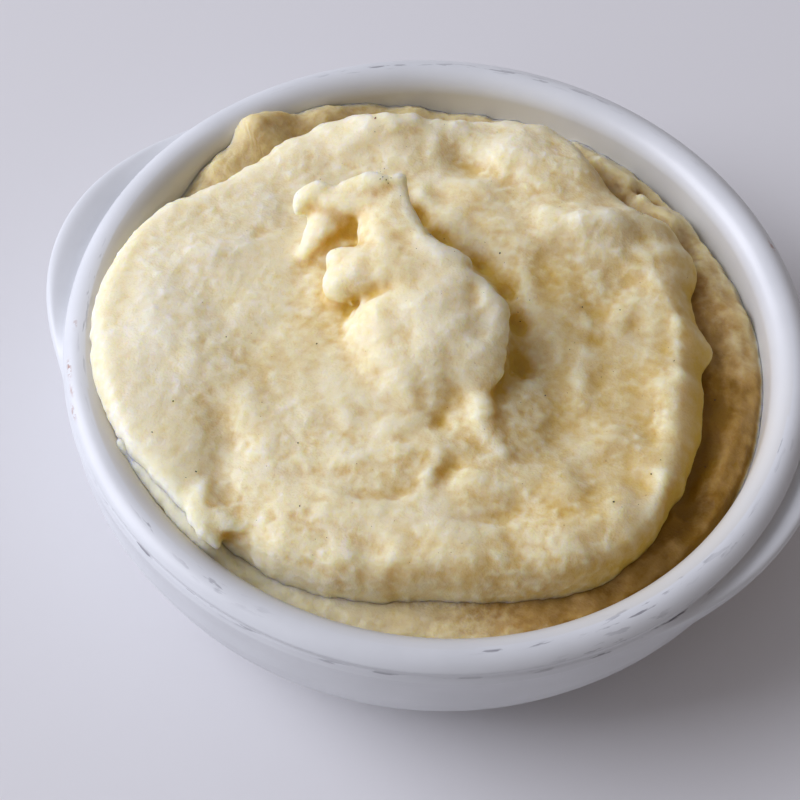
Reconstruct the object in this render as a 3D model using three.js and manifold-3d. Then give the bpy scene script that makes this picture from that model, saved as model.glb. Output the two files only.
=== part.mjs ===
// A side of mashed potato in its own round eared dish, in millimetres, +Z up.
// The origin is the middle of the dish's underside, and X runs through the two ears.
// Three solids: the glazed dish, the packed mash that fills it to the wall, and the second
// helping spooned on top, which ends in a dollop with a torn, curled peak.
import * as THREE from "three";
import { mergeVertices } from "three/addons/utils/BufferGeometryUtils.js";
import Module from "manifold-3d";

const wasm = await Module();
wasm.setup();

// ---- driving dimensions ----
const RIM_OUTER_RADIUS = 80;
const DISH_HEIGHT = 44;
const RIM_ROLL = 4.6; // radius of the rolled rim's section
const FLOOR_HEIGHT = 6; // inside floor of the dish above the table
const FLOOR_RADIUS = 50; // where the floor starts to curve up
const FOOT_RADIUS = 54;
const FOOT_RECESS = 1.2; // hollow under the foot, inside its bearing ring
const GAP = 0.35; // clearance kept between touching pieces
const LAYER_LEVEL = 46; // general height of the upper helping
const PACKED_LEVEL = 35.4; // general height of the packed mash at the wall

// The two ears: direction in degrees, reach past the wall, half span in degrees, and the power
// that thins the outline towards the ear's ends.
const EARS = [
  [180, 8.5, 31.5, 1.5],
  [0, 6.3, 36, 1.3],
];

const RIM_RADIUS = RIM_OUTER_RADIUS - RIM_ROLL;
const RIM_CENTRE_HEIGHT = DISH_HEIGHT - RIM_ROLL;
const WALL_INNER = RIM_RADIUS - RIM_ROLL;
const INSIDE_STEPS = 4; // facets down the inside curve, which the packed mash follows
const TAU = Math.PI * 2;

// ---- shared shaping ----

// Closed solid from rings, stacked upwards or along a line: place(row, angle) gives each point,
// and the first and the last row are single poles.
function ringSolid(rows, segments, place) {
  const points = [];
  const faces = [];
  points.push(place(0, 0));
  for (let row = 1; row < rows - 1; row++)
    for (let k = 0; k < segments; k++) points.push(place(row, (k / segments) * TAU));
  points.push(place(rows - 1, 0));
  const at = (row, k) => 1 + (row - 1) * segments + (k % segments);
  const last = points.length - 1;
  for (let k = 0; k < segments; k++) {
    faces.push(0, at(1, k + 1), at(1, k));
    for (let row = 1; row < rows - 2; row++) {
      faces.push(at(row, k), at(row + 1, k + 1), at(row + 1, k));
      faces.push(at(row, k), at(row, k + 1), at(row + 1, k + 1));
    }
    faces.push(at(rows - 2, k), at(rows - 2, k + 1), last);
  }
  const geometry = new THREE.BufferGeometry();
  geometry.setAttribute("position", new THREE.Float32BufferAttribute(points.flat(), 3));
  geometry.setIndex(faces);
  return geometry;
}

const FINGER_RINGS = 8;
const FINGER_SIDES = 10;

// A finger of mash: elliptic rings carried along a smooth line, closed by a rounded tip at each end.
// Each station is [x, y, z, half width, half height].
function finger(stations) {
  const line = new THREE.CatmullRomCurve3(stations.map(([x, y, z]) => new THREE.Vector3(x, y, z)));
  const blend = (t, column) => {
    const place = t * (stations.length - 1);
    const i = Math.min(Math.floor(place), stations.length - 2);
    return THREE.MathUtils.lerp(stations[i][column], stations[i + 1][column], place - i);
  };
  const up = new THREE.Vector3(0, 0, 1);
  return ringSolid(FINGER_RINGS + 1, FINGER_SIDES, (row, angle) => {
    const turn = (row / FINGER_RINGS) * Math.PI;
    const t = (1 - Math.cos(turn)) / 2;
    const along = line.getTangent(t);
    const side = new THREE.Vector3().crossVectors(up, along).normalize();
    const rise = new THREE.Vector3().crossVectors(along, side);
    const round = Math.sin(turn) ** 0.55; // fuller than an ellipsoid, so the tips stay blunt
    const wide = Math.cos(angle) * blend(t, 3) * round;
    const high = Math.sin(angle) * blend(t, 4) * round;
    const p = line.getPoint(t);
    p.addScaledVector(side, wide).addScaledVector(rise, high);
    return [p.x, p.y, p.z];
  });
}

function solidOf(geometry) {
  const bare = geometry.clone();
  bare.deleteAttribute("normal");
  bare.deleteAttribute("uv");
  const merged = mergeVertices(bare, 1e-4);
  return new wasm.Manifold(
    new wasm.Mesh({
      numProp: 3,
      vertProperties: new Float32Array(merged.attributes.position.array),
      triVerts: new Uint32Array(merged.index.array),
    }),
  );
}

function geometryOf(solid) {
  const mesh = solid.getMesh();
  const geometry = new THREE.BufferGeometry();
  geometry.setAttribute("position", new THREE.BufferAttribute(mesh.vertProperties.slice(), 3));
  geometry.setIndex(new THREE.BufferAttribute(mesh.triVerts.slice(), 1));
  return geometry;
}

const smooth = (low, high, value) => THREE.MathUtils.smoothstep(value, low, high);
const bell = (distance, width) => Math.exp(-((distance / width) ** 2));
const degrees = THREE.MathUtils.radToDeg;

// Shortest turn between two angles given in degrees.
const turnBetween = (a, b) => ((((a - b) % 360) + 540) % 360) - 180;

// Distance from (x, y) to the stroke's straight line, for a mark left by the spoon.
function strokeRise(x, y, [x0, y0, x1, y1, width, rise]) {
  const dx = x1 - x0;
  const dy = y1 - y0;
  const along = THREE.MathUtils.clamp(((x - x0) * dx + (y - y0) * dy) / (dx * dx + dy * dy || 1), 0, 1);
  return rise * bell(Math.hypot(x - x0 - along * dx, y - y0 - along * dy), width);
}

// Small rounded lumps of even size, from three crossed waves turned against each other.
function lumps(x, y, size) {
  const wave = (turn) => Math.sin(((x * Math.cos(turn) + y * Math.sin(turn)) * TAU) / size + turn * 7);
  return (wave(0.3) + wave(1.4) + wave(2.5)) / 3;
}

// ---- the dish: a thick rolled rim, near-upright wall, flat foot and two crescent ears ----

// Outer wall from the body up to the rim. Columns: set in from the rim's outer radius, height,
// ear's push outwards as a share of its reach, ear's push up.
const WALL_AND_EAR = [
  [1.0, 28.5, 0, 0],
  [1.0, 30.8, 0.3, 0.4],
  [1.0, 33.0, 0.74, 0.5],
  [0.8, 35.0, 0.95, 1.3],
  [0.6, 36.6, 1.0, 2.0],
  [0.5, 37.6, 0.95, 2.1],
  [0.4, 38.5, 0.72, 1.7],
  [0.6, 39.3, 0.36, 0.5],
  [0.8, 40.0, 0.04, -0.8], // groove between the ear and the rim
  [1.1, 40.7, -0.12, -1.0],
];
// Where the rim's roll starts outside, as an angle on its section.
const ROLL_START = 0.62;
// Curve of the body from the foot to the wall, and of the inside from the wall to the floor, as
// the two points that pull each curve: radius, height.
const BODY_PULL = [
  [66, 1],
  [76.5, 14],
];
const INSIDE_START = [WALL_INNER - 0.5, 30];
const INSIDE_PULL = [
  [WALL_INNER - 1.5, 14],
  [64, FLOOR_HEIGHT],
];

function curve(...points) {
  return new THREE.CubicBezierCurve(...points.map(([radius, height]) => new THREE.Vector2(radius, height)));
}

function dishSection() {
  const wall = WALL_AND_EAR.map(([inset, ...rest]) => [RIM_OUTER_RADIUS - inset, ...rest]);
  const body = curve([FOOT_RADIUS, 0], ...BODY_PULL, wall[0]);
  const rim = new THREE.EllipseCurve(
    RIM_RADIUS,
    RIM_CENTRE_HEIGHT,
    RIM_ROLL,
    RIM_ROLL,
    ROLL_START,
    Math.PI,
  );
  const inside = curve(INSIDE_START, ...INSIDE_PULL, [FLOOR_RADIUS, FLOOR_HEIGHT]);
  const plain = (points) => points.map((p) => [p.x, p.y, 0, 0]);
  return [
    [0, FOOT_RECESS, 0, 0],
    [FOOT_RADIUS - 9, FOOT_RECESS, 0, 0],
    [FOOT_RADIUS - 7, 0, 0, 0],
    ...plain(body.getPoints(5)).slice(0, -1),
    ...wall,
    ...plain(rim.getPoints(8)),
    ...plain(inside.getPoints(INSIDE_STEPS)),
    [0, FLOOR_HEIGHT, 0, 0],
  ];
}

function dishGeometry() {
  const section = dishSection();
  return ringSolid(section.length, 60, (row, angle) => {
    let [radius, height, push, lift] = section[row];
    for (const [direction, reach, halfSpan, thinning] of EARS) {
      const share = turnBetween(degrees(angle), direction) / halfSpan;
      const near = Math.max(0, 1 - share ** 2) ** thinning;
      radius += push * reach * near;
      height += lift * near;
    }
    return [radius * Math.cos(angle), radius * Math.sin(angle), height];
  });
}

// ---- the packed mash: fills the dish to the wall, with a bank of lumps at the back left ----

// Spoon marks and lumps on the packed mash: x0, y0, x1, y1, width, rise.
const PACKED_MARKS = [
  [-55, 39, -48, 47, 8, 6.2], // bank of lumps at the back left, up to the rim
  [-62, 24, -59, 33, 7, 6.4],
  [-61, 36, -55, 42, 3.4, 2.2],
  [-42, 54, -30, 60, 6, 2.4],
  [-66, 4, -66, -24, 6, 6],
  [-46, -52, -26, -64, 5, 4.6], // strip beside the helping at the front left
  [16, 61, 24, 58.5, 3.6, 5.4], // two rope-like lumps at the back right
  [29, 53.5, 37, 51, 3.6, 5.6],
  [27, 58, 31, 56.5, 1.6, -2.4],
  [40, 50, 43, 45, 2.2, -1.6],
  [46, 44, 54, 33, 4.0, 1.8],
  [57, 34, 62, 20, 3, 1.2], // folds scraped along the wall
  [65, 8, 65, -12, 2.2, 1.0],
  [60, 2, 60, -18, 1.6, -1.0],
  [54, -36, 60, -27, 3, 1.4],
  [-30, -62, -42, -54, 4, 1.6],
];

function packedHeight(x, y) {
  const radius = Math.hypot(x, y);
  const marks = PACKED_MARKS.reduce((sum, mark) => sum + strokeRise(x, y, mark), 0);
  const shown = smooth(44, 56, radius); // under the helping it is pressed flat
  return PACKED_LEVEL - 0.9 + shown * (0.9 + marks + 0.5 * lumps(x, y, 13));
}

const PACKED_TOP_ROWS = [0, 24, 42, 50, 55, 59.5, 63.5, 66.6, 68.6, 69.5];

function packedGeometry() {
  const inside = dishSection()
    .slice(-1 - INSIDE_STEPS, -1)
    .map(([radius, height]) => [radius - GAP, height + GAP]);
  const lower = [[0, FLOOR_HEIGHT + GAP], ...inside.reverse()];
  const top = PACKED_TOP_ROWS.slice().reverse();
  return ringSolid(lower.length + top.length, 72, (row, angle) => {
    const cos = Math.cos(angle);
    const sin = Math.sin(angle);
    if (row < lower.length) {
      const [radius, height] = lower[row];
      return [radius * cos, radius * sin, height];
    }
    const radius = top[row - lower.length];
    const atWall = smooth(67, 70, radius); // the edge rounds down to the wall
    const height = packedHeight(radius * cos, radius * sin) - 1.6 * atWall;
    return [radius * cos, radius * sin, height];
  });
}

// ---- the upper helping: a spread layer with a swirled surface, then the dollop ----

// Reach of the layer's edge. Each lobe: direction in degrees, spread in degrees, extra reach.
const EDGE_RADIUS = 59.4;
const EDGE_LOBES = [
  [213, 30, 11],
  [181, 12, 7],
  [242, 14, 5.4],
  [267, 12, 4.4],
  [322, 20, 4.4],
  [350, 7, 1.4],
  [14, 8, -2.6],
  [24, 4, 1.4],
  [31, 3, -2.4],
  [43, 9, 1.0],
  [58, 9, -4.4],
  [88, 9, 5.4],
  [114, 12, -1.6],
  [140, 8, 3.0],
  [160, 8, 1.6],
];

function edgeRadius(angle) {
  const ripples = 0.45 * Math.sin(angle * 23 + 1) + 0.35 * Math.sin(angle * 37 + 2);
  const lobes = EDGE_LOBES.reduce(
    (sum, [direction, spread, reach]) => sum + reach * bell(turnBetween(degrees(angle), direction), spread),
    0,
  );
  return Math.min(EDGE_RADIUS + lobes + ripples, WALL_INNER - 1.1);
}

// Swells, ridges and hollows left by the spoon: x0, y0, x1, y1, width, rise.
const LAYER_MARKS = [
  [-6, 0, -2, -2, 38, 3.6], // general dome
  [-54, -10, -52, -30, 17, 3.4], // the full left side
  [-46, 33, -30, 43, 8, 2.4], // ridge along the back
  [-28, 44, -16, 47, 7, 2.8],
  [0, 50, 10, 49, 8, 3.2],
  [13, 34, 24, 38, 5.0, 3.2], // crescent along the right
  [27, 37, 39, 25, 7.5, 1.6],
  [42, 21, 48, 6, 9, 0.8],
  [50, -2, 51, -18, 9, 0.4],
  [27, 42, 35, 34, 3, 0.8], // the crest's sharp edge
  [35, 34, 46.5, 20.2, 3, 1.2],
  [46.5, 20.2, 50.5, 8, 3, 1.5],
  [50.5, 8, 51.6, -4, 3, 1.2],
  [51.6, -4, 54.6, -17, 3, 1.2],
  [49, -28, 40, -38, 6, 2.4],
  [28, -46, -6, -52, 6, 1.4], // roll along the front
  [20, -34, 36, -28, 4.5, 1.6],
  [-50, -7, -38, -1, 3.2, 1.2],
  [-12, 27, 2, 18, 5.5, -2.6], // trough that runs round the dollop
  [10, 13, 20, 1, 6.0, -2.6],
  [21, -5, 22, -14, 4.0, -0.8],
  [27, -4, 34, -14, 6.0, -1.6],
  [-8, 40, -5, 39, 4.4, -3.2],
  [-9, 31, 13, 42, 4.0, -1.8],
  [-37, -37, -32, -45, 5.0, -1.1], // channel drawn down the left front
  [-28, -50, -22.5, -55.5, 3.4, -1.3],
  [-9, -45, -2, -44, 2.2, -1.2],
  [3, -44, 9, -41, 2.4, -1.4],
  [12, -38, 17, -36, 2.4, -1.2],
  [2, -31, 5, -29, 3.0, -1.4],
  [-38, 14, -28, 24, 5.0, -1.4],
  [-44, 3, -42, 3, 2.0, -1.0],
];

function layerHeight(x, y) {
  const marks = LAYER_MARKS.reduce((sum, mark) => sum + strokeRise(x, y, mark), 0);
  const rough = 0.45 * lumps(x, y, 8.5) + 0.35 * lumps(y - 20, x + 9, 5.7);
  const fall = (4 * smooth(10, 34, x) + 1.6 * smooth(30, 56, x)) * bell(y - 4, 42); // lower at the right
  return LAYER_LEVEL - fall + marks + rough;
}

const LAYER_INNER_ROWS = 13;
const LIP_ROWS = 7;
const LIP_END = THREE.MathUtils.degToRad(-24); // the lip bulges a little past its foot
const LIP_WIDTH = 6.6;
const WIDE_LIP = [46, 14, 5.5]; // at the back right: direction, spread, extra width
const LIP_MIDDLE = 0.24; // its widest height, as a share of the way from foot to top
const LAYER_BASE = 30; // sunk in the packed mash, and cut back to its surface afterwards

function layerGeometry() {
  const rows = LAYER_INNER_ROWS + LIP_ROWS + 2;
  return ringSolid(rows, 84, (fromUnder, angle) => {
    const row = rows - 1 - fromUnder;
    const cos = Math.cos(angle);
    const sin = Math.sin(angle);
    const reach = edgeRadius(angle);
    const lip = LIP_WIDTH + WIDE_LIP[2] * bell(turnBetween(degrees(angle), WIDE_LIP[0]), WIDE_LIP[1]);
    const crest = reach - lip;
    if (row <= LAYER_INNER_ROWS) {
      const radius = crest * (row / LAYER_INNER_ROWS) ** 0.8;
      return [radius * cos, radius * sin, layerHeight(radius * cos, radius * sin)];
    }
    if (row > LAYER_INNER_ROWS + LIP_ROWS) return [0, 0, LAYER_BASE];
    const top = layerHeight(crest * cos, crest * sin);
    const foot = packedHeight(reach * cos, reach * sin);
    const turn = THREE.MathUtils.lerp(Math.PI / 2, LIP_END, (row - LAYER_INNER_ROWS) / LIP_ROWS);
    const radius = crest + lip * Math.cos(turn);
    const middle = THREE.MathUtils.lerp(foot, top, LIP_MIDDLE);
    return [radius * cos, radius * sin, middle + (top - middle) * Math.sin(turn)];
  });
}

// The dollop, dragged out of the helping from its foot at the lower right up to a torn peak.
const DOLLOP_PEAK = [-20, 18, 62];
const DOLLOP_LENGTH = 55;
const DOLLOP_DIRECTION = THREE.MathUtils.degToRad(-55.7);
const DOLLOP_MIDDLE = [-4, -3.7];
const DOLLOP_ROLL = 1.4; // how far its edge rounds down below its top
// Outline down the right side, round the foot and up the left: x, y, height of the edge.
const DOLLOP_OUTLINE = [
  [-17.7, 22.0, 60.6],
  [-13.1, 16.2, 59.8],
  [-7.0, 11.0, 58.4],
  [-0.7, 11.2, 57.0],
  [3.7, 8.0, 55.8],
  [10.0, 6.1, 54.6],
  [15.0, -0.1, 53.2],
  [17.9, -11.1, 51.6],
  [14.4, -17.0, 49.6],
  [8.2, -24.4, 46.6],
  [-3.4, -28.6, 46.0],
  [-16.6, -20.4, 46.0],
  [-19.8, -14.2, 46.2],
  [-18.6, -9.2, 47.4],
  [-14.6, -0.8, 52.6],
  [-21.6, 5.6, 57.0],
  [-23.4, 14.8, 60.0],
  [-20.2, 21.6, 61.2],
];
// Its rings as a share of the outline, upwards. The under rings drop below the edge.
const DOLLOP_BASE = 40; // sunk in the layer below
const DOLLOP_UNDER = [
  [0.85, 9],
  [0.92, 4],
  [0.985, 1.2],
];
const DOLLOP_TOP = [1, 0.97, 0.9, 0.79, 0.64, 0.47, 0.27];

// Top of the dollop: a spine that falls towards the foot, rounded down to either side.
function dollopHeight(x, y) {
  const cos = Math.cos(DOLLOP_DIRECTION);
  const sin = Math.sin(DOLLOP_DIRECTION);
  const along = (x - DOLLOP_PEAK[0]) * cos + (y - DOLLOP_PEAK[1]) * sin;
  const across = (y - DOLLOP_PEAK[1]) * cos - (x - DOLLOP_PEAK[0]) * sin;
  const spine = DOLLOP_PEAK[2] - 12.5 * Math.max(0, along / DOLLOP_LENGTH) ** 1.8;
  const away = across - 0.04 * along;
  return spine - (away > 0 ? 0.7 : 4.2) * (away / 17) ** 2;
}

function dollopGeometry() {
  const outline = new THREE.CatmullRomCurve3(
    DOLLOP_OUTLINE.map((point) => new THREE.Vector3(...point)),
    true,
  );
  const rings = [[0, 0], ...DOLLOP_UNDER, ...DOLLOP_TOP.map((share) => [share, 0]), [0, 0]];
  return ringSolid(rings.length, 40, (row, angle) => {
    const edge = outline.getPoint(1 - angle / TAU); // the outline runs clockwise
    const [share, drop] = rings[row];
    const x = THREE.MathUtils.lerp(DOLLOP_MIDDLE[0], edge.x, share);
    const y = THREE.MathUtils.lerp(DOLLOP_MIDDLE[1], edge.y, share);
    if (row === 0) return [x, y, DOLLOP_BASE];
    const top = dollopHeight(x, y);
    const rim = Math.min(edge.z, top) - DOLLOP_ROLL;
    return [x, y, drop > 0 ? rim - drop : THREE.MathUtils.lerp(top, rim, share ** 7)];
  });
}

// Torn folds on and beside the dollop's peak, the tongue off its foot, and the forked tail dragged
// over the front left edge. Stations of each finger: x, y, z, half width, half height.
const FINGERS = {
  shoulder: [
    [-15, 17.5, 55, 4, 6],
    [-20.2, 16.6, 55, 4.2, 6],
    [-25, 15.2, 54.6, 4, 5.6],
    [-29.4, 13.8, 53.4, 3.6, 5.4],
    [-33, 12.2, 51.6, 2.8, 4.8],
  ],
  leftLobe: [
    [-36.3, 7.6, 54.2, 0.9, 1.2],
    [-36.4, 9.6, 55.8, 1.9, 1.9],
    [-35.2, 12, 57, 2.4, 2.3],
    [-33.2, 13.8, 57.8, 2.6, 2.3],
    [-31, 14.4, 57.8, 2, 2],
  ],
  backLobe: [
    [-29.6, 14, 58.2, 1.8, 2],
    [-28, 15.4, 58.8, 2.4, 2.1],
    [-25.2, 17, 59.8, 2.7, 2.2],
    [-22, 18.4, 60.6, 2.7, 2.2],
    [-18.6, 19.2, 60.4, 2.2, 1.8],
  ],
  flap: [
    [-35, 10.8, 55.8, 2, 2.4],
    [-31.2, 12.2, 56.8, 2.8, 2.8],
    [-27, 13.4, 57.5, 3.2, 2.9],
    [-22, 14.4, 58.4, 3.6, 2.7],
    [-17.6, 14.2, 59.2, 3.2, 2.4],
  ],
  tip: [
    [-20, 18, 59.6, 2.4, 1.8],
    [-18.4, 20.4, 60.6, 1.7, 1.6],
    [-17.2, 22.9, 61.8, 0.6, 0.8],
  ],
  leaf: [
    [-31.4, 11, 55.6, 2.8, 2.6],
    [-31.2, 8.6, 54.2, 3, 3],
    [-31.2, 6.2, 52.2, 2.9, 3],
    [-31.4, 4, 50, 2.5, 2.8],
    [-31.7, 2, 48.2, 1.9, 2.2],
  ],
  hoodWall: [
    [-31, 7.8, 51.4, 2.2, 5],
    [-28.6, 9.4, 51, 2.2, 5.2],
    [-26.2, 11.2, 51, 2.4, 5.4],
    [-23, 12.8, 51.6, 3, 5.4],
  ],
  hoodFloor: [
    [-22.6, 9.6, 52.2, 2.8, 3],
    [-25, 8.4, 51.7, 3.2, 3],
    [-27.4, 6.4, 50.6, 3.2, 3],
    [-28.8, 4.2, 49, 2.8, 2.8],
    [-29.4, 1.8, 47.4, 2, 2.4],
  ],
  knob: [
    [-8, 2.6, 54.6, 5.4, 4.2],
    [-13.8, 1.8, 54.8, 5.8, 4.4],
    [-18.4, -0.6, 54.4, 5.7, 4.4],
    [-20.6, -4, 52.8, 5, 4.4],
    [-20.4, -7.2, 50.6, 4.2, 3.8],
  ],
  knobBridge: [
    [-17.6, 4.6, 55, 4, 4.6],
    [-14, 1.4, 55.6, 4.8, 4.4],
    [-10, -1.6, 55.6, 5, 3.6],
  ],
  beak: [
    [-18.6, 0.6, 54.6, 3.6, 3.2],
    [-22.2, 0.5, 54.6, 3.2, 3],
    [-25, 0.3, 54, 2.4, 2.6],
    [-26.4, 0, 53.6, 1.4, 1.6],
  ],
  tongue: [
    [12.6, -14.4, 48.4, 2.8, 2.6],
    [15.2, -17.6, 48.2, 3, 2.6],
    [16.6, -21, 47.4, 2.8, 2.4],
    [19.2, -24, 46.4, 2.4, 2.2],
    [22.8, -26.4, 45.4, 1.4, 1.4],
  ],
  tail: [
    [-29.2, -54.2, 46, 1.3, 0.8],
    [-28.8, -57.6, 46, 2.3, 1.5],
    [-27.4, -60.6, 45.4, 2.9, 1.8],
    [-24.8, -63, 44.4, 2.6, 1.9],
    [-22, -65, 43, 1.6, 1.5],
    [-20.7, -66, 42.3, 0.7, 0.8],
  ],
  tailTip: [
    [-26.6, -60, 45.6, 2.2, 1.5],
    [-23.4, -60.8, 45.4, 2.3, 1.6],
    [-20.4, -61.2, 45.1, 1.6, 1.3],
    [-17.4, -61, 44.6, 0.6, 0.6],
  ],
};
const SIMPLIFY_TOLERANCE = 0.02;

// Joins the helping, then presses it onto the packed mash with the gap between them.
function helpingGeometry(packed) {
  let helping = solidOf(layerGeometry());
  const pieces = [dollopGeometry(), ...Object.values(FINGERS).map(finger)];
  for (const piece of pieces) helping = helping.add(solidOf(piece));
  helping = helping.subtract(packed.translate([0, 0, GAP]));
  helping = helping.simplify(SIMPLIFY_TOLERANCE);
  const bodies = helping.decompose();
  bodies.sort((a, b) => b.volume() - a.volume());
  return geometryOf(bodies[0]);
}

// ---- assembly ----

const whiteGlaze = new THREE.MeshStandardMaterial({ color: "#dcdde1", roughness: 0.34, metalness: 0 });
const packedPotato = new THREE.MeshStandardMaterial({ color: "#c9b377", roughness: 0.6, metalness: 0 });
const creamedPotato = new THREE.MeshStandardMaterial({ color: "#ead9a8", roughness: 0.5, metalness: 0 });

function piece(name, geometry, material) {
  geometry.computeVertexNormals();
  const mesh = new THREE.Mesh(geometry, material);
  mesh.name = name;
  return mesh;
}

const packed = solidOf(packedGeometry());

const group = new THREE.Group();
group.add(piece("eared_dish", dishGeometry(), whiteGlaze));
group.add(piece("packed_mash", geometryOf(packed), packedPotato));
group.add(piece("spooned_mash", helpingGeometry(packed), creamedPotato));

export default group;
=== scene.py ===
"""A side of mashed potato in its own round eared dish.

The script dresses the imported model. It follows the order in which the dish is served: the view,
the glazed dish, the mash packed into it, the second helping with its dollop, the specks of
pepper, and last the table and the light.
"""
import math

import bmesh
import bpy
import numpy as np
from mathutils import Matrix, Vector


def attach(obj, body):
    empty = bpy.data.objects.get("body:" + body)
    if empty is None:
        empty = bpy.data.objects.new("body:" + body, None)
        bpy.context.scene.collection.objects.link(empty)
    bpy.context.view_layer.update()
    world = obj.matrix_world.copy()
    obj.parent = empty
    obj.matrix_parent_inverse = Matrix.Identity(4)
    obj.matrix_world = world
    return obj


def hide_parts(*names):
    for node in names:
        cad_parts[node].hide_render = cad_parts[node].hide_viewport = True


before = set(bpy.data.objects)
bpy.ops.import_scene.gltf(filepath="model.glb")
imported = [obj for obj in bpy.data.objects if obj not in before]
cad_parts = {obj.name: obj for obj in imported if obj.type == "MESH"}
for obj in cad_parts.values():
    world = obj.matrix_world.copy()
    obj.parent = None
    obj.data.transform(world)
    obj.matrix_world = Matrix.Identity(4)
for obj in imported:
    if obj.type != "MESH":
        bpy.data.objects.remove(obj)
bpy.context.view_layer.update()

MM = 0.001  # sizes are in millimetres, and are turned to metres as a mesh is made
TAU = 2 * math.pi


# ---- The view ----
# A camera looks down into the dish from the front and a little to its right, close enough to
# crop the right ear. The frame is square.
VIEW_PLACE = np.array([61.815, -214.280, 351.975]) * MM
VIEW_FORWARD = Vector((-0.17056866, 0.52495636, -0.83386279))
VIEW_UP = Vector((-0.32565008, 0.76867833, 0.55053215))
LENS_MM = 81.0
SENSOR_MM = 36.0
NEAREST_SEEN = 10 * MM


def put_in_scene(name, data):
    """A new object of that name and data, linked to the scene."""
    thing = bpy.data.objects.new(name, data)
    bpy.context.scene.collection.objects.link(thing)
    return thing


view = put_in_scene("view", bpy.data.cameras.new("view"))
view.data.lens = LENS_MM
view.data.sensor_width = SENSOR_MM
view.data.clip_start = NEAREST_SEEN
view_right = VIEW_FORWARD.cross(VIEW_UP).normalized()
turn = Matrix((view_right, view_right.cross(VIEW_FORWARD), -VIEW_FORWARD)).transposed()
view.matrix_world = Matrix.Translation(Vector(VIEW_PLACE)) @ turn.to_4x4()
bpy.context.scene.camera = view


# ---- The dish ----
# A thrown terracotta dish with a thick rolled rim and two crescent ears pressed onto its wall,
# dipped whole in an opaque white glaze. Years of spoons and stacking have left grey metal
# marks along the rim and a few chips that show the clay.
RIM_OUTER_RADIUS = 80.0
DISH_HEIGHT = 44.0
RIM_ROLL = 4.6
EARS = [  # direction, reach, half span in degrees, how full its outline is
    [179.5, 8.5, 31.5, 1.5],
    [0, 5.2, 38.5, 1.25],
]
FULL_LIFT_REACH = 6.0  # an ear with less reach lifts less
FOOT_RADIUS = 54.0
FOOT_HOLLOW = 1.2  # the underside stands this high inside its bearing ring
TRUE_BELOW = 20.0  # up to this height the wall was trimmed to a true circle
RIM_RADIUS = RIM_OUTER_RADIUS - RIM_ROLL
ROLL_HEIGHT = DISH_HEIGHT - RIM_ROLL
ROLL_START = 0.62  # radians round the roll, where the outer wall meets it
WALL_INNER = RIM_RADIUS - RIM_ROLL
FLOOR_HEIGHT = 6.0
FLOOR_RADIUS = 50.0
# The inside, from the wall down to the floor, as the four points of a Bezier curve.
INSIDE_CURVE = [(WALL_INNER - 0.5, 30), (WALL_INNER - 1.5, 14), (64, FLOOR_HEIGHT),
                (FLOOR_RADIUS, FLOOR_HEIGHT)]
# Outer wall, upwards: set in from the rim's outer radius, height, ear's push out, ear's lift.
WALL_AND_EAR = np.array([
    [1, 28.5, 0, 0], [1, 30.8, 0.3, 0.4], [1, 33, 0.74, 0.5], [0.8, 35, 0.95, 1.3],
    [0.6, 36.6, 1, 2], [0.5, 37.6, 0.95, 2.1], [0.4, 38.5, 0.72, 1.7], [0.6, 39.3, 0.36, 0.5],
    [0.8, 40, 0.04, -0.8], [1.1, 40.7, -0.12, -1],
])
GLAZE_WHITE = "#DBDDE0"
GLAZE_GREY = "#D3D5D8"
METAL_MARK = "#74727A"
BARE_CLAY = "#9C6044"
# Mash film on the wall: partly a real film, partly painted shade where the mash meets and shades
# the wall
MASH_FILM_AND_SHADE = "#B9A878"
GLAZE_ROUGHNESS = 0.34
GLAZE_CLOUDS = 45.0  # grey clouds in it, to a metre
GLAZE_WAVES = 130.0  # waves of its surface, to a metre
DASH_MM = 0.9
DASH_STRETCH = 6  # times longer round the dish than across
CHIP_GRAIN_MM = 0.8
FILM_HEIGHT = 36.4  # of the line that the mash left on the wall, with painted shade along it
FILM_RISE = 7.6  # how much higher that line is at the left, where it also paints the wall's warm shade
PAINTED_SHADE_HEIGHT = 39.0  # of the painted shade low on the wall at the right, where the helping shades it
# Worn places: direction, place over the rim's roll (90 is its crest, less is outside), the
# spread of both, and how worn. All but the last are degrees.
METAL_MARKS = [
    [301, 92, 9, 3, 0.9], [320, 84, 6, 22, 0.75], [318, 40, 9, 14, 0.6], [331, 100, 5, 8, 0.8],
    [348, 80, 12, 12, 0.5], [358, 108, 5, 7, 0.8], [243, 88, 5, 4, 0.9], [256, 84, 7, 12, 0.5],
    [200, 96, 14, 9, 0.5], [248, 14, 16, 7, 0.9], [285, 12, 18, 6, 0.6], [318, 10, 10, 5, 0.8],
    [330, 12, 8, 6, 0.8], [124, 88, 5, 6, 0.8], [100, 84, 30, 8, 0.5],
]
CHIPS = [
    [210.4, 58, 1.3, 5, 1], [214.5, 58, 0.8, 4, 0.7], [218.2, 50, 1.1, 4, 0.9],
    [202.2, 74, 0.7, 4, 0.7], [40, 62, 0.9, 5, 0.9],
]


def bezier(points, steps):
    """Cubic Bezier curve through the first and last of four points, pulled by the two between."""
    t = np.linspace(0, 1, steps)[:, None]
    a, b, c, d = np.asarray(points, float)
    return (1 - t) ** 3 * a + 3 * t * (1 - t) ** 2 * b + 3 * t * t * (1 - t) * c + t ** 3 * d


def smooth_line(points, steps, closed=False):
    """Catmull-Rom curve through all points, with any number of columns. Between two points it
    is a cubic whose slope at each point is half the step between that point's neighbours."""
    p = np.asarray(points, float)
    if closed:
        p = np.concatenate([p[-1:], p, p[:2]])
    else:
        p = np.concatenate([2 * p[:1] - p[1:2], p, 2 * p[-1:] - p[-2:-1]])
    place = np.linspace(0, len(p) - 3, steps, endpoint=not closed)
    k = np.minimum(place.astype(int), len(p) - 4)
    t = (place - k)[:, None]
    a, b, c, d = p[k], p[k + 1], p[k + 2], p[k + 3]
    return b + t / 2 * (c - a + t * (2 * a - 5 * b + 4 * c - d + t * (3 * (b - c) + d - a)))


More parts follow.
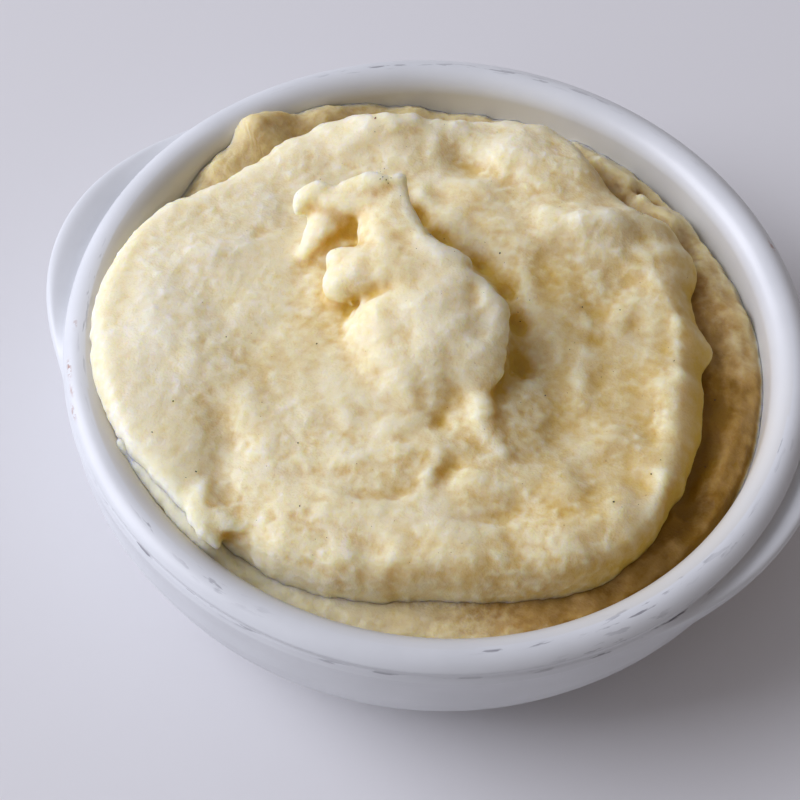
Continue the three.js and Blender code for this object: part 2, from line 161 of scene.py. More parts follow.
def ring_mesh(name, rows):
    """Closed smooth mesh from stacked rings. rows has the shape (ring, step, xyz) in
    millimetres. The first and the last ring shrink to a single point."""
    count, steps = rows.shape[:2]
    points = np.concatenate([rows[0, :1], rows[1:-1].reshape(-1, 3), rows[-1, :1]]) * MM
    at = 1 + np.arange((count - 2) * steps).reshape(count - 2, steps)
    after = np.roll(at, -1, axis=1)
    quads = np.stack([at[:-1], after[:-1], after[1:], at[1:]], axis=-1).reshape(-1, 4)
    first = np.stack([np.zeros(steps, int), after[0], at[0]], axis=-1)
    last = np.stack([np.full(steps, len(points) - 1), at[-1], after[-1]], axis=-1)
    faces = quads.tolist() + first.tolist() + last.tolist()
    mesh = bpy.data.meshes.new(name)
    mesh.from_pydata(points.tolist(), [], faces, shade_flat=False)
    return put_in_scene(name, mesh)


def polar(radius, angle, height):
    """Places at each radius, angle and height, in one array."""
    parts = radius * np.cos(angle), radius * np.sin(angle), height
    return np.stack(np.broadcast_arrays(*parts), axis=-1)


def dish_profile():
    """The dish's section, from the underside's middle out to the foot, up the wall, over the
    rim and down inside. Columns: radius, height, ear's push out, ear's lift."""
    def plain(points):
        """The same points without an ear's push or lift."""
        return np.pad(np.asarray(points, float), ((0, 0), (0, 2)))
    wall = WALL_AND_EAR * [-1, 1, 1, 1] + [RIM_OUTER_RADIUS, 0, 0, 0]
    foot_edge = (FOOT_RADIUS + 1.2, 0.1)
    hollow = [(r, FOOT_HOLLOW) for r in (0, 20, 40, FOOT_RADIUS - 8.5)]
    ring = bezier([(FOOT_RADIUS - 6, 0), (FOOT_RADIUS - 2, 0), (FOOT_RADIUS, 0), foot_edge], 6)
    body = bezier([foot_edge, (66, 1.2), (76.5, 14), wall[0, :2]], 26)
    over = np.linspace(ROLL_START, math.pi, 30)
    rim = np.stack([RIM_RADIUS + RIM_ROLL * np.cos(over),
                    ROLL_HEIGHT + RIM_ROLL * np.sin(over)], axis=1)
    outer = smooth_line(np.concatenate([plain(body[-2:-1]), wall, plain(rim[:1])]), 60)
    return np.concatenate([
        plain([*hollow, (FOOT_RADIUS - 7.4, 0.9)]), plain(ring[:-1]), plain(body[:-2]), outer,
        plain(rim[1:]), plain(bezier(INSIDE_CURVE, 18)),
        plain([(FLOOR_RADIUS / 2, FLOOR_HEIGHT), (0, FLOOR_HEIGHT)])])


def thrown(angle):
    """How far the hand-thrown wall strays from a true circle: a wave with two and one with three
    crests round it, set in by 0.2 mm."""
    return 0.12 * np.cos(2 * angle + 0.7) + 0.08 * np.cos(3 * angle + 2.0) - 0.2


def turned(angle, direction):
    """Shortest turn from direction to angle, in degrees."""
    return (np.degrees(angle) - direction + 180) % 360 - 180


def dish_surface(steps=480):
    """The section carried round the axis. Each ear adds its push and lift to the wall, fading
    with the angle from the ear's middle as (1 - (angle / half span)^2)^fullness."""
    profile = dish_profile()
    angle = np.arange(steps) / steps * TAU
    radius, height, push, lift = (profile[:, [k]] for k in range(4))
    r = radius + thrown(angle) * (height > TRUE_BELOW)
    z = height
    for direction, reach, span, fullness in EARS:
        near = np.clip(1 - (turned(angle, direction) / span) ** 2, 0, None) ** fullness
        r = r + push * reach * near
        z = z + lift * near * min(1, reach / FULL_LIFT_REACH)
    return polar(r, angle, z)


def read(piece):
    """The vertices' places and normals, in millimetres."""
    mesh = piece.data
    flat = np.empty(len(mesh.vertices) * 3, np.float32)
    mesh.vertices.foreach_get("co", flat)
    points = flat.reshape(-1, 3).astype(float) / MM
    mesh.vertex_normals.foreach_get("vector", flat)
    return points, flat.reshape(-1, 3).astype(float)


def store(piece, name, values):
    """Keeps one number for each vertex on the mesh, for its material to read."""
    data = piece.data.attributes.new(name, "FLOAT", "POINT").data
    data.foreach_set("value", np.asarray(values, np.float32))


def linear(hex_colour):
    """sRGB hex to linear light: c / 12.92 below 0.04045, else ((c + 0.055) / 1.055) ^ 2.4."""
    c = np.array([int(hex_colour[k:k + 2], 16) for k in (1, 3, 5)]) / 255
    return (*np.where(c < 0.04045, c / 12.92, ((c + 0.055) / 1.055) ** 2.4), 1.0)


def add(tree, kind, links=None, **settings):
    """Adds a shader node. settings are its own properties, or values of the inputs that they name
    (i1 is the input numbered 1), and links joins an input to another node's output."""
    node = tree.nodes.new("ShaderNode" + kind)
    inputs = {}
    for key, value in settings.items():
        if hasattr(node, key):
            setattr(node, key, value)
        else:
            inputs[key.replace("_", " ")] = value
    for key, value in inputs.items():
        numbered = key[0] == "i" and key[1:].isdigit()
        node.inputs[int(key[1:]) if numbered else key].default_value = value
    for key, output in (links or {}).items():
        tree.links.new(output, node.inputs[key])
    return node


def ramp(tree, value, stops):
    """A colour ramp node over value. stops is a list of (position, colour or grey)."""
    node = add(tree, "ValToRGB", {"Fac": value})
    elements = node.color_ramp.elements
    while len(elements) < len(stops):
        elements.new(0.5)
    for element, (position, colour) in zip(elements, stops):
        element.position = position
        element.color = linear(colour) if isinstance(colour, str) else (colour, colour, colour, 1)
    return node.outputs["Color"]


def cloud(tree, vector, scale, detail=2.0):
    """A noise texture over vector, with scale lumps a metre. Its output is about 0.2 to 0.8."""
    node = add(tree, "TexNoise", {"Vector": vector}, Scale=scale, Detail=detail)
    return node.outputs["Fac"]


def bump(tree, shader, height, strength, distance_mm):
    """Tilts the shader's normal as if height, from 0 to 1, stood distance_mm high."""
    node = add(tree, "Bump", {"Height": height}, Strength=strength, Distance=distance_mm * MM)
    tree.links.new(node.outputs["Normal"], shader.inputs["Normal"])


def new_material(name, **inputs):
    """A material with its output and a Principled shader, whose inputs are set by name."""
    material = bpy.data.materials.new(name)
    material.use_nodes = True
    tree = material.node_tree
    tree.nodes.clear()
    shader = add(tree, "BsdfPrincipled", **inputs)
    add(tree, "OutputMaterial", {"Surface": shader.outputs["BSDF"]})
    return material, tree, shader


def bell(distance, width):
    """Falls from 1 at distance 0 as e^-(distance / width)^2."""
    return np.exp(-((distance / width) ** 2))


def worn(points, places):
    """Sum of bells over the places, each in direction and in place over the rim's roll."""
    x, y, z = points.T
    angle = np.arctan2(y, x)
    on_roll = np.degrees(np.arctan2(z - ROLL_HEIGHT, np.hypot(x, y) - RIM_RADIUS))
    total = np.zeros(len(points))
    for direction, over, spread, spread_over, amount in places:
        total += amount * bell(turned(angle, direction), spread) * bell(on_roll - over, spread_over)
    return total


def film_and_painted_shade(points):
    """Butter and starch left on the inner wall, with painted shade: a narrow line just over the
    mash, which is higher at the left, where it also paints the wall's warm shade, and a broad
    painted shade at the right, where the helping shades the wall. Both are bells of the height."""
    x, y, z = points.T
    angle = np.arctan2(y, x)
    left = bell(turned(angle, 205), 62)
    line = bell(z - (FILM_HEIGHT + FILM_RISE * left), 2.4) * (0.7 - 0.1 * left)
    # painted shade on the wall at the right, where the helping's flank shades it
    wall_shade = 0.8 * bell(turned(angle, -28), 40) * bell(z - PAINTED_SHADE_HEIGHT, 6)
    inside = np.hypot(x, y) < RIM_RADIUS - 1
    return inside * (wall_shade + line)


def white_glaze():
    """Opaque tin-white earthenware glaze, worn from glossy to satin. Cutlery has left grey
    dashes of metal, most along the rim, and a few chips show the clay."""
    material, tree, shader = new_material("white_tin_glaze", Roughness=GLAZE_ROUGHNESS, IOR=1.5)
    place = add(tree, "TexCoord").outputs["Object"]
    soft = cloud(tree, place, GLAZE_CLOUDS, detail=4.0)
    colour = ramp(tree, soft, [(0.35, GLAZE_GREY), (0.65, GLAZE_WHITE)])
    # Round the dish, out from its axis and up. Lengths round the dish are cut by the stretch.
    x, y, z = add(tree, "SeparateXYZ", {"Vector": place}).outputs
    angle = add(tree, "Math", {0: y, 1: x}, operation="ARCTAN2").outputs[0]
    radian = RIM_RADIUS / DASH_STRETCH * MM
    arc = add(tree, "Math", {0: angle}, operation="MULTIPLY", i1=radian).outputs[0]
    flat = add(tree, "CombineXYZ", {"X": x, "Y": y}).outputs[0]
    out = add(tree, "VectorMath", {0: flat}, operation="LENGTH").outputs["Value"]
    round_dish = add(tree, "CombineXYZ", {"X": arc, "Y": out, "Z": z}).outputs[0]
    dashes = cloud(tree, round_dish, 1 / (DASH_MM * MM), detail=3.0)
    flakes = cloud(tree, place, 1 / (CHIP_GRAIN_MM * MM))
    for attribute, pattern, low, high, paint in (
            # the film colour is partly real film and partly painted shade on the wall next to the
            # mash
            ("film", soft, 0.1, 0.9, MASH_FILM_AND_SHADE),
            ("metal", dashes, 0.56, 0.62, METAL_MARK),
            ("chip", flakes, 0.42, 0.5, BARE_CLAY)):
        where = add(tree, "Attribute", attribute_name=attribute).outputs["Fac"]
        cover = ramp(tree, pattern, [(low, 0.0), (high, 1.0)])
        share = add(tree, "Math", {0: where, 1: cover}, operation="MULTIPLY", use_clamp=True)
        colour = add(tree, "Mix", {"Factor": share.outputs[0], 6: colour}, data_type="RGBA",
                     i7=linear(paint)).outputs[2]
    tree.links.new(colour, shader.inputs["Base Color"])
    waves = cloud(tree, place, GLAZE_WAVES, detail=3.0)
    bump(tree, shader, waves, strength=0.15, distance_mm=0.4)
    return material


dish = ring_mesh("eared_dish_glazed", dish_surface())
dish_points = read(dish)[0]
store(dish, "metal", worn(dish_points, METAL_MARKS))
store(dish, "chip", worn(dish_points, CHIPS))
# film left by the mash, and painted shade on the wall beside it
store(dish, "film", film_and_painted_shade(dish_points))
dish.data.materials.append(white_glaze())
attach(dish, "root")
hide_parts("eared_dish")


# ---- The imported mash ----
# The first filling, pressed down to the wall with the back of a spoon. It is plain potato
# without much milk, so it is yellower, drier and grainier than the helping on top. It shows as
# a ring, and stands above the rim in a bank of lumps at the back left.
PACKED_LEVEL = 35.4
UNDER_HELPING = 0.9  # how much lower it lies where the helping hides it
MASH_INSET = 0.35  # room between the mash and the dish's inside, below the ring that shows
WALL_FLARE = 0.053  # how fast the dish's inside narrows downwards
WALL_CONTACT = 0.08  # how deep its edge is pressed into the wall's glaze
WALL_ROUNDING = 1.5  # how far its edge rounds down at the wall
ROUNDING_WIDTH = 3.6
WALL_DIPS = [  # direction, spread, how much further it rounds down there
    [50, 14, 2.6], [62, 5, 1.5], [145, 30, -1.4], [232, 26, -1.5],
]
TONE_PLACES = (0.0, 0.28, 0.55, 0.95)  # from crease to crest, as are the tones
# the darkest tones are painted shade in creases and on the shaded right side
PACKED_TONES = ("#8E6818", "#B8965A", "#D8C698", "#E8DEBC")
STREAK_RADIAN = 9  # mm. The true arc is 66 mm, so the streaks run 7 times longer round the wall.
NEAR_ROUNDS = 12  # rounds of crest_of, which compare a place with about 2 mm round it
PACKED_MARKS = [  # x0, y0, x1, y1, width, rise
    [-55, 39, -48, 47, 8, 6.2], [-62, 24, -59, 33, 7, 6.4], [-61, 36, -55, 42, 3.4, 2.2],
    [-42, 54, -30, 60, 6, 2.4], [-66, 4, -66, -24, 6, 6], [-46, -52, -26, -64, 5, 4.6],
    [16, 61, 24, 58.5, 3.6, 5.4], [29, 53.5, 37, 51, 3.6, 5.6], [27, 58, 31, 56.5, 1.6, -2.4],
    [40, 50, 43, 45, 2.2, -1.6], [46, 44, 54, 33, 4, 1.8], [57, 34, 62, 20, 3, 1.2],
    [65, 8, 65, -12, 2.2, 1], [60, 2, 60, -18, 1.6, -1], [54, -36, 60, -27, 3, 1.4],
    [-30, -62, -42, -54, 4, 1.6], [-64, -32, -50, -50, 3.4, 5], [-48, -53, -18, -68, 3.4, 2.4],
]


def noise(points, size, seed):
    """Smooth random field, about -1 to 1, with lumps of the given size. Each corner of a cubic
    lattice has a random slope, and the eight slopes round a point are blended by a quintic."""
    draw = np.random.default_rng(seed)
    order = draw.permutation(256)
    slopes = draw.normal(size=(256, 3))
    slopes /= np.linalg.norm(slopes, axis=1, keepdims=True)
    p = points / size
    cell = np.floor(p).astype(int)
    f = p - cell
    fade = f ** 3 * (f * (f * 6 - 15) + 10)
    total = np.zeros(p.shape[:-1])
    for corner in np.ndindex(2, 2, 2):
        c = cell + corner
        pick = order[(order[(order[c[..., 0] & 255] + c[..., 1]) & 255] + c[..., 2]) & 255]
        weight = np.where(corner, fade, 1 - fade).prod(axis=-1)
        total += weight * (slopes[pick] * (f - corner)).sum(axis=-1)
    return total * 1.7


def ease(low, high, value):
    """Cubic step from 0 at low to 1 at high."""
    t = np.clip((value - low) / (high - low), 0, 1)
    return t * t * (3 - 2 * t)


def strokes(x, y, marks):
    """Height of all the spoon marks. Each adds its rise times a bell of the distance from its
    straight line."""
    total = np.zeros_like(x)
    for x0, y0, x1, y1, width, rise in marks:
        dx, dy = x1 - x0, y1 - y0
        t = np.clip(((x - x0) * dx + (y - y0) * dy) / (dx * dx + dy * dy), 0, 1)
        total += rise * bell(np.hypot(x - x0 - t * dx, y - y0 - t * dy), width)
    return total


def packed_height(x, y):
    """Level, plus spoon marks where it shows. Under the helping it is flat."""
    shown = ease(44, 56, np.hypot(x, y))
    return PACKED_LEVEL - UNDER_HELPING + shown * (UNDER_HELPING + strokes(x, y, PACKED_MARKS))


def wall_at(height):
    """Radius of the dish's inside at a height: a slight flare below the rim, then its arc."""
    above = np.clip(height - ROLL_HEIGHT, 0, RIM_ROLL)
    below = np.clip(ROLL_HEIGHT - height, 0, None)
    return RIM_RADIUS - np.sqrt(RIM_ROLL ** 2 - above ** 2) - WALL_FLARE * below


def packed_surface(steps=640):
    """Inside of the dish as the underside, then the top as a height over rings from the wall in.
    Near the wall the top rounds down, by more at the dips and where a noise round it is high."""
    angle = np.arange(steps) / steps * TAU
    inside = bezier(INSIDE_CURVE, 7)[::-1] + [-MASH_INSET, MASH_INSET]
    lower = [polar(r, angle, z) for r, z in [(0, FLOOR_HEIGHT + MASH_INSET), *inside]]
    share = np.concatenate([np.linspace(1, 0.74, 60), np.linspace(0.7, 0, 10)])[:, None]
    ring = polar(WALL_INNER, angle, 0)
    edge = packed_height(*ring.T[:2])
    reach = wall_at(edge - 1) + thrown(angle) + WALL_CONTACT
    radius = share * reach
    gap = WALL_ROUNDING + 0.9 * noise(ring, 9, 41) + 0.5 * noise(ring, 2.6, 42)
    for direction, spread, more in WALL_DIPS:
        gap = gap + more * bell(turned(angle, direction), spread)
    top = polar(radius, angle, packed_height(radius * np.cos(angle), radius * np.sin(angle)))
    top[..., 2] -= np.clip(gap, 0.3, None) * ease(reach - ROUNDING_WIDTH, reach, radius) ** 2
    return np.concatenate([lower, top])


def write(piece, points):
    """Puts the vertices at new places, in millimetres."""
    piece.data.vertices.foreach_set("co", (points * MM).astype(np.float32).ravel())
    piece.data.update()


def roughen(piece, field):
    """Moves every vertex along its normal by field(points), all in millimetres."""
    points, normals = read(piece)
    write(piece, points + normals * field(points)[:, None])


def packed_relief(points):
    """Coarse potato: lumps 7 and 3 mm across, grains of 1.3 mm, and nothing where it is hidden.
    At the right the spoon scraped along the wall, which left streaks 3 mm wide."""
    x, y, z = points.T
    out, angle = np.hypot(x, y), np.arctan2(y, x)
    shown = ease(50, 54, out) * ease(30, 33, z)
    toward_right = bell(turned(angle, -8), 48)
    streak = noise(np.stack([out, angle * STREAK_RADIAN, z], axis=1), 3.0, 14)
    fine = 0.3 * noise(points, 3.0, 12) + 0.2 * noise(points, 1.3, 13)
    lumps = 0.5 * noise(points, 7, 11)
    return shown * (lumps + (1 - 0.4 * toward_right) * fine + 0.5 * toward_right * streak)


def mash(name, tones, grain_mm):
    """Boiled potato, riced and beaten with milk and butter. Light goes a few millimetres into it
    and comes back warm, and painted shade in the stored tone adds to it, so lumps are cream and
    creases amber. Clouds of drier, whiter potato 11 and 3.6 mm across and a fine grain are mixed
    through. The surface is moist and half matt."""
    material, tree, shader = new_material(
        name, Roughness=0.48, IOR=1.45, Specular_IOR_Level=0.25, Subsurface_Weight=1.0,
        Subsurface_Radius=(1.0, 0.86, 0.32), Subsurface_Scale=5.6 * MM)
    place = add(tree, "TexCoord").outputs["Object"]
    # the crest attribute holds the tone with painted shade and painted light
    tone = add(tree, "Attribute", attribute_name="crest").outputs["Fac"]
    for size, amount in ((11, 0.4), (3.6, 0.4), (grain_mm, 0.12)):
        part = add(tree, "Math", {0: cloud(tree, place, 1 / (size * MM))},
                   operation="MULTIPLY_ADD", i1=amount, i2=-amount / 2).outputs[0]
        tone = add(tree, "Math", {0: tone, 1: part}, operation="ADD").outputs[0]
    tree.links.new(ramp(tree, tone, list(zip(TONE_PLACES, tones))), shader.inputs["Base Color"])
    grain = cloud(tree, place, 1 / (grain_mm * MM), detail=3.0)
    bump(tree, shader, grain, strength=0.6, distance_mm=0.3)
    return material


def crest_of(piece, rounds):
    """How far each vertex stands out of its surroundings, in millimetres: its offset along the
    normal from the mean of its neighbours, taken over that many rounds."""
    points, normals = read(piece)
    count = len(points)
    ends = np.empty(len(piece.data.edges) * 2, np.int32)
    piece.data.edges.foreach_get("vertices", ends)
    a, b = ends.reshape(-1, 2).T
    degree = np.bincount(a, minlength=count) + np.bincount(b, minlength=count)
    mean = points.copy()
    for _ in range(rounds):
        total = np.stack([np.bincount(a, mean[b, k], count) + np.bincount(b, mean[a, k], count)
                          for k in range(3)], axis=1)
        mean = total / degree[:, None]
    return ((points - mean) * normals).sum(axis=1)


def packed_tone_and_shade(piece):
    """Lighter on crests and darker in creases, partly the potato's own whiter tops and partly
    painted shade. Painted shade darkens the right side, which lies in the helping's shadow, most of
    all beside the helping and at the wall. Painted light lightens the front, and painted shade
    darkens the back."""
    x, y, _ = read(piece)[0].T
    out, angle = np.hypot(x, y), np.arctan2(y, x)
    # painted shade on the right side, which the helping shades
    shaded_side = bell(turned(angle, -17), 50)
    # painted light at the front and painted shade at the back
    front, back = bell(turned(angle, 258), 30), bell(turned(angle, 140), 34)
    beside, at_wall = ease(66, 59, out), ease(WALL_INNER - 2.4, WALL_INNER - 1.0, out)
    # crests lighter and creases darker: the potato's whiter tops and painted shade
    crest = crest_of(piece, NEAR_ROUNDS) * (0.5 - 0.25 * shaded_side - 0.35 * back)
    right_shade = shaded_side * (0.58 + 0.36 * beside + 0.3 * at_wall)
    return 0.62 + crest - right_shade + 0.36 * front - 0.16 * back


packed = ring_mesh("packed_mash_filling", packed_surface())
roughen(packed, packed_relief)
# the stored tone holds painted shade and painted light as well as the potato's own tone
store(packed, "crest", packed_tone_and_shade(packed))
packed.data.materials.append(mash("riced_potato_dry", PACKED_TONES, grain_mm=0.6))
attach(packed, "root")
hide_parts("packed_mash")


# ---- The helping on top ----
# A second, creamier spoonful turned out over the first and spread with a swirl. The spoon
# leaves a crescent ridge at the right, a roll along the front and a dollop in the middle,
# pulled up to a peak that tore and curled over.
LAYER_LEVEL = 46.0
SUNK_CORE = 30.0  # height of its hidden underside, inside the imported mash
LAYER_EDGE = [  # direction in degrees, reach of the edge, width of its lip
    [0, 58.8, 7.2], [7, 57.6, 6.4], [15, 56.7, 6], [21, 59, 8], [27, 56.8, 6.8], [34, 57, 7.4],
    [39, 60.2, 10.4], [46, 61.8, 12.2], [52, 60.8, 10.6], [57, 57, 7], [62, 55.5, 6],
    [72, 57.4, 7], [80, 61.1, 7], [86, 63.5, 7], [93, 62, 7], [100, 59.6, 7], [113, 57.8, 7],
    [122, 58.4, 7], [133, 60.7, 8], [144, 61.5, 8], [154, 60.7, 7], [164, 62.8, 7], [172, 67, 7],
    [183, 70.5, 7], [193, 72.6, 7], [203, 73.6, 7], [214, 73.4, 7], [223, 71.8, 6],
    [231, 70.2, 5.5], [238, 69.2, 5], [244, 68.4, 5], [250, 66.4, 5.5], [256, 65.2, 6],
    [264, 65, 6], [278, 62.4, 6], [284, 61, 6], [291, 60.4, 6], [300, 61.1, 6], [313, 63, 5.5],
    [321, 64.3, 5], [329, 64, 3.6], [335, 63, 3.2], [342, 60.8, 3.6], [347, 60.6, 5],
    [353, 59.6, 6.6],
]
BROAD_MARKS = [  # x0, y0, x1, y1, width, rise, as above
    [-6, 0, -2, -2, 38, 3.6], [-54, -10, -50, -30, 19, 3.4], [-46, 33, -30, 43, 8, 2.4],
    [-28, 44, -16, 47, 7, 2.8], [0, 50, 10, 49, 8, 3.2], [13, 34, 24, 38, 5, 3.2],
    [27, 37, 39, 25, 7.5, 1.6], [42, 21, 48, 6, 9, 0.8], [50, -2, 51, -18, 9, 0.4],
    [27, 42, 35, 34, 2.4, 0.8], [21, 33, 28, 32, 4.4, 1.5], [35, 34, 46.5, 20.2, 2.2, 1.2],
    [46.5, 20.2, 50.5, 8, 2.2, 1.5], [50.5, 8, 51.6, -4, 2.2, 1.2],
    [51.6, -4, 54.6, -17, 2.2, 1.2], [54.6, -17, 58, -27, 2.2, 0.7], [49, -28, 40, -38, 6, 2.4],
    [28, -46, -6, -52, 6, 1.4], [20, -34, 36, -28, 4.5, 1.6], [-12, 27, 2, 18, 5.5, -2.6],
    [10, 13, 20, 1, 6, -1.9], [21, -5, 22, -14, 4, -0.5], [27, -4, 34, -14, 6, -1.6],
    [-37, -37, -32, -45, 5, -1.1], [-28, -50, -22.5, -55.5, 3.4, -1.3],
    [-38, 14, -28, 24, 5, -1.4],
]
FINE_MARKS = [  # the same, cut to the share below
    [-52, -13, -44.5, -17, 4.6, -0.7], [-44, -17, -35, -23, 4.6, -0.7],
    [-32, -15, -31.5, -17, 1.8, -0.5], [-34, -36, -28, -41.5, 5, -1],
    [-28, -42, -26.5, -51.5, 5, -0.9], [-38, -34.5, -29.5, -34.5, 3, 0.7],
    [-27, -38.5, -21.5, -43, 3, 0.9], [-37.5, -39, -34.5, -46.5, 3, 0.6],
    [-49.5, -31, -44, -38, 3.4, -0.4], [-58, -18.5, -52, -27.5, 4.5, 0.5],
    [-46, -28.5, -41.5, -33.5, 3.5, 0.5], [-34, -26, -31, -28, 2.4, -0.4],
    [-26, -21, -24, -24, 2.6, -0.3], [-23.5, -28.5, -20.5, -33, 2.6, -0.3],
    [-59, -0.5, -56, 7, 4.6, -0.5], [-52.5, -5.5, -45, 0, 2.6, 1], [-43.5, 6, -43, 5, 1.8, -0.6],
    [-44, 19, -39, 10.5, 2.8, -0.5], [-44.5, 31.5, -36, 28.5, 4.6, -0.7],
    [-31.5, -3, -30.5, 2, 3.2, -0.5], [-36, 34.5, -33.5, 39.5, 3, 1.2],
    [-33, 41, -17, 50.5, 3.4, 1.2], [-31.5, 37.5, -18, 47, 3, -0.5],
    [-17.5, 43.5, -17, 42.5, 2.6, 1.1], [-24.5, 36.5, -21.5, 37, 2.8, 1],
    [-17, 40, -15.5, 38.5, 2.2, 0.6], [-13, 44, -8.5, 41.5, 4, -2],
    [-15.5, 33.5, -5, 36.5, 2.6, 1], [-2.5, 46.5, 2.5, 45.5, 4.6, 1.6], [6.5, 42, 9, 42, 2.8, 1],
    [15.5, 48, 18.5, 42.5, 2.6, 0.8], [7.5, 53.5, 10, 54, 2.8, -0.5], [-7.5, 35, -3, 35, 4.4, 1],
    [-6.5, 28.5, -4, 24.5, 2.8, 1.1], [0, 28, 5.5, 29, 2.4, 1.1], [8, 25, 11.5, 25.5, 2.2, 0.9],
    [14, 24, 19, 16.5, 4, -0.8], [12, 18.5, 14, 16, 2.2, 0.7], [19, 22, 21.5, 18, 2.2, 0.6],
    [13.5, 29, 18.5, 33, 2.6, 1], [19, 35, 28, 38, 2.6, 1], [22.5, 29.5, 28, 22.5, 4, 1.2],
    [26, 30, 33, 29.5, 2, 0.8], [29.5, 27.5, 32.5, 26, 3.2, -0.5], [35, 22, 34, 15, 2.6, 1.2],
    [39, 19, 38, 15.5, 2.4, -0.6], [40, 21, 41.5, 18.5, 2.4, 1.2], [28, 12, 31, 11, 3.6, -0.6],
    [28.5, 13.5, 29.5, 12.5, 1.6, 0.9], [23.5, 16.5, 26.5, 13, 2.2, 0.7],
    [31, 6, 33.5, 5.5, 2, 0.6], [45, 10, 47.5, 5, 3.6, 1.2], [48, 4.5, 50.5, 0.5, 3, 1],
    [31, 1, 33, -6, 2, 1], [35, 1.5, 38.5, -4, 3.4, -0.6], [21, -8.5, 23.5, -6.5, 2.4, 0.8],
    [22, -20.5, 27, -14, 2.6, 0.6], [28.5, -14.5, 30.5, -11.5, 1, -0.5],
    [37, -16.5, 42, -10, 3, 0.9], [47.5, -9.5, 51, -16, 2.6, 0.7],
    [54.5, -16.5, 54.5, -25, 2.2, 1], [48.5, -30.5, 49.5, -31.5, 2.2, 1],
    [53, -33.5, 54, -34.5, 1.8, 0.8], [34.5, -23, 38, -27.5, 3, 0.7],
    [28, -39, 30.5, -36, 2.2, -0.7], [49, -21.5, 51.5, -23.5, 2.4, -0.5],
    [30.5, -43.5, 32.5, -46, 1.6, -0.5], [46, -37.5, 48.5, -40.5, 2.2, -0.4],
    [36, -46, 38, -50, 3, -0.5], [32, -40, 35, -41.5, 3.4, 0.7], [44, -45, 46.5, -45, 3.2, 0.8],
    [-5.5, -40, 4, -34.5, 2.8, 1.1], [4, -33.5, 11.5, -29.5, 2.4, 0.7],
    [-12, -46, -4, -42.5, 1.6, -0.8], [0, -46.5, 7, -43.5, 1.5, -0.8],
    [7, -43.5, 9, -39.5, 1.7, -0.9], [14, -37, 15.5, -32.5, 1.5, -1.3],
    [11.5, -37, 11.5, -32, 1.6, 1.2], [-9, -55.5, -7.5, -51.5, 1.8, -0.5],
    [-13.5, -53, -10, -58, 2.2, 0.9], [-7, -62, -4.5, -65, 3.4, 0.7],
    [2, -58, 4.5, -66, 2.8, 0.8], [-2, -62, 1.5, -65.5, 2.6, -0.4],
    [6.5, -55.5, 11, -60.5, 3, -0.7], [12, -56, 14, -58, 2.2, 0.9], [8, -52.5, 10.5, -53, 2, 0.7],
    [19.5, -49.5, 25, -51, 5.4, 1.1], [27.5, -47.5, 30.5, -50, 2, -0.5],
    [19.5, -43.5, 27.5, -40.5, 1.5, -0.5], [7.5, -18, 9, -24, 2, -1.4],
    [9, -24.5, 3.5, -31, 2, -1], [-0.5, -31.5, 6.5, -27.5, 2.2, 1],
    [13.5, -19, 11.5, -24.5, 2, -0.5], [14, -15.5, 16, -20.5, 2.2, 1.6],
    [16, -20.5, 23, -26, 2, 1.6], [-14, -33.5, -11, -33.5, 2, -0.5],
    [-6.5, -28, -3, -28.5, 1.8, -0.5], [-9, -30.5, -8, -31.5, 1.8, 0.7],
    [-16, 29.6, -7, 26, 2.2, 1.6],
]
TROUGH = [  # the same, for the trough along the dollop's right side, which also gets painted shade
    [-18.6, 28, -14.8, 25.2, 2, -1.2], [-14.8, 25.2, -8, 22.2, 2.2, -1.9],
    [-8, 22.2, 2, 19, 2.2, -1.7], [2, 19, 10, 13.4, 2.2, -1.9], [10, 13.4, 15, 6.4, 2, -1.6],
    [15, 6.4, 18.8, -3, 2.6, -2.1], [18.8, -3, 18.2, -11, 2.6, -1.6],
]
PAINTED_SHADE_PLACES = [  # the same, but how strong the painted shade is, less than 0 for painted light
    [-24.4, 8.6, -27.6, 5.4, 2.2, 0.4], [-31, -45, -27, -8, 8, 0.12],
    [-20, -4, -19, -12, 4, 0.08], [8, 17, 20, 20, 5, 0.16], [-30, 45, -12, 41, 4, 0.08],
    [36, -34, 41, -32, 5, 0.12], [-58, -14, -46, -40, 8, -0.1], [16, -42, 23, -44, 5, -0.16],
    [21, 35, 27, 33, 5, -0.16],
]
FINE_SHARE = 0.8
LIP_END = math.radians(-24)  # where the lip ends, tucked under its widest line
DOLLOP_PEAK = np.array([-20.0, 18.0, 62.0])
DOLLOP_LENGTH = 55.0
DOLLOP_FALL = 12.5  # of its spine over that length
DOLLOP_SLANT = 0.04  # how the spine turns to the right of its direction
DOLLOP_HALF_WIDTH = 17.0
DOLLOP_ROUNDING = (0.2, 4.2)  # how far its right and its left side have sunk at the half width
DOLLOP_DIRECTION = math.radians(-55.7)
DOLLOP_OUTLINE = [  # x, y, height of the edge: down the right side, round the foot, up the left
    [-17.7, 22, 60.6], [-15.2, 19, 60], [-13.1, 16.2, 59.8], [-9.9, 12.8, 58.8],
    [-6.8, 10.4, 59.4], [-3.6, 10.4, 58.8], [-0.5, 10.3, 58.3], [2.4, 9.6, 57.8], [3.8, 7, 57.4],
    [6.9, 6.3, 56.8], [10.2, 5.2, 56.2], [13, 3, 55.6], [15.2, -1, 54.6], [17.1, -6.4, 53.6],
    [17.9, -11.1, 51.6], [16.9, -14.2, 50.8], [14.4, -17, 49.6], [11.4, -19.6, 48],
    [8.2, -24.4, 46.6], [3.4, -28.8, 46], [-3.4, -28.6, 46], [-10.6, -25.4, 46],
    [-16.6, -20.4, 46], [-19.8, -14.2, 46.2], [-18.6, -9.2, 47.4], [-15, -5, 50.6],
    [-14.6, -0.8, 52.6], [-18.2, 2.6, 55.4], [-21.6, 5.6, 57], [-23.7, 10.2, 58.4],
    [-23.4, 14.8, 60], [-22.4, 19, 61], [-20.2, 21.6, 61.2],
]
DOLLOP_MIDDLE = np.array([-4.0, -3.7])
